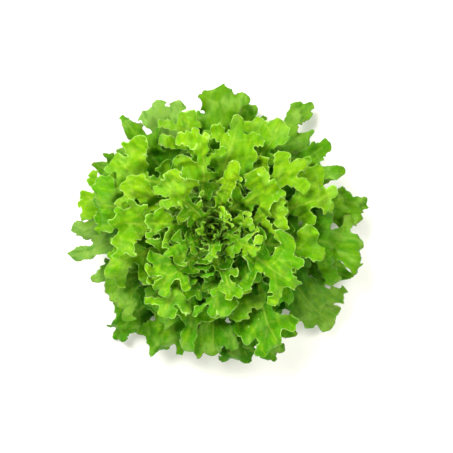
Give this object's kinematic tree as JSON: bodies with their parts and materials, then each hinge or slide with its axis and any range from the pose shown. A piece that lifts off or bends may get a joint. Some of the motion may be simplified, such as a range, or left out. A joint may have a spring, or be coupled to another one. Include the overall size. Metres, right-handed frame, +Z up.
{
  "type": "head of oak-leaf lettuce",
  "caption": "Head of green oak-leaf lettuce: long lobed, ruffled leaves in a dense dome round a short cut stem, standing on the stem's flat face.",
  "frame": {"origin": "centre of the stem's flat cut face, which is the lowest point", "axes": "+Z up along the stem, through the heart; +X and +Y lie in the cut face, with the long outer leaves spreading furthest towards +X"},
  "size_m": [0.278, 0.2595, 0.1382],
  "materials": {
    "cut_stem": "moist, pale green flesh with a slightly browned rim",
    "outer_leaf": "satin, duller and darker green with a pale midrib",
    "middle_leaf": "satin, fresh green with fine veins",
    "inner_leaf": "satin, bright yellow-green with a paler margin",
    "heart_leaf": "satin, small crinkled leaves, yellow-green"
  },
  "bodies": {
    "root": {"cut_stem": "cut_stem", "outer_leaf_01": "outer_leaf", "outer_leaf_02": "outer_leaf", "outer_leaf_03": "outer_leaf", "outer_leaf_04": "outer_leaf", "outer_leaf_05": "outer_leaf", "outer_leaf_06": "outer_leaf", "outer_leaf_07": "outer_leaf", "outer_leaf_08": "outer_leaf", "outer_leaf_09": "outer_leaf", "outer_leaf_10": "outer_leaf", "outer_leaf_11": "outer_leaf", "outer_leaf_12": "outer_leaf", "outer_leaf_13": "outer_leaf", "outer_leaf_14": "outer_leaf", "outer_leaf_15": "outer_leaf", "outer_leaf_16": "outer_leaf", "outer_leaf_17": "outer_leaf", "outer_leaf_18": "outer_leaf", "outer_leaf_19": "outer_leaf", "outer_leaf_20": "outer_leaf", "middle_leaf_01": "middle_leaf", "middle_leaf_02": "middle_leaf", "middle_leaf_03": "middle_leaf", "middle_leaf_04": "middle_leaf", "middle_leaf_05": "middle_leaf", "middle_leaf_06": "middle_leaf", "middle_leaf_07": "middle_leaf", "middle_leaf_08": "middle_leaf", "middle_leaf_09": "middle_leaf", "middle_leaf_10": "middle_leaf", "middle_leaf_11": "middle_leaf", "middle_leaf_12": "middle_leaf", "middle_leaf_13": "middle_leaf", "middle_leaf_14": "middle_leaf", "middle_leaf_15": "middle_leaf", "middle_leaf_16": "middle_leaf", "inner_leaf_01": "inner_leaf", "inner_leaf_02": "inner_leaf", "inner_leaf_03": "inner_leaf", "inner_leaf_04": "inner_leaf", "inner_leaf_05": "inner_leaf", "inner_leaf_06": "inner_leaf", "inner_leaf_07": "inner_leaf", "inner_leaf_08": "inner_leaf", "inner_leaf_09": "inner_leaf", "inner_leaf_10": "inner_leaf", "inner_leaf_11": "inner_leaf", "inner_leaf_12": "inner_leaf", "inner_leaf_13": "inner_leaf", "inner_leaf_14": "inner_leaf", "inner_leaf_15": "inner_leaf", "heart_leaf_01": "heart_leaf", "heart_leaf_02": "heart_leaf", "heart_leaf_03": "heart_leaf", "heart_leaf_04": "heart_leaf", "heart_leaf_05": "heart_leaf", "heart_leaf_06": "heart_leaf", "heart_leaf_07": "heart_leaf", "heart_leaf_08": "heart_leaf"}
  },
  "joints": []
}
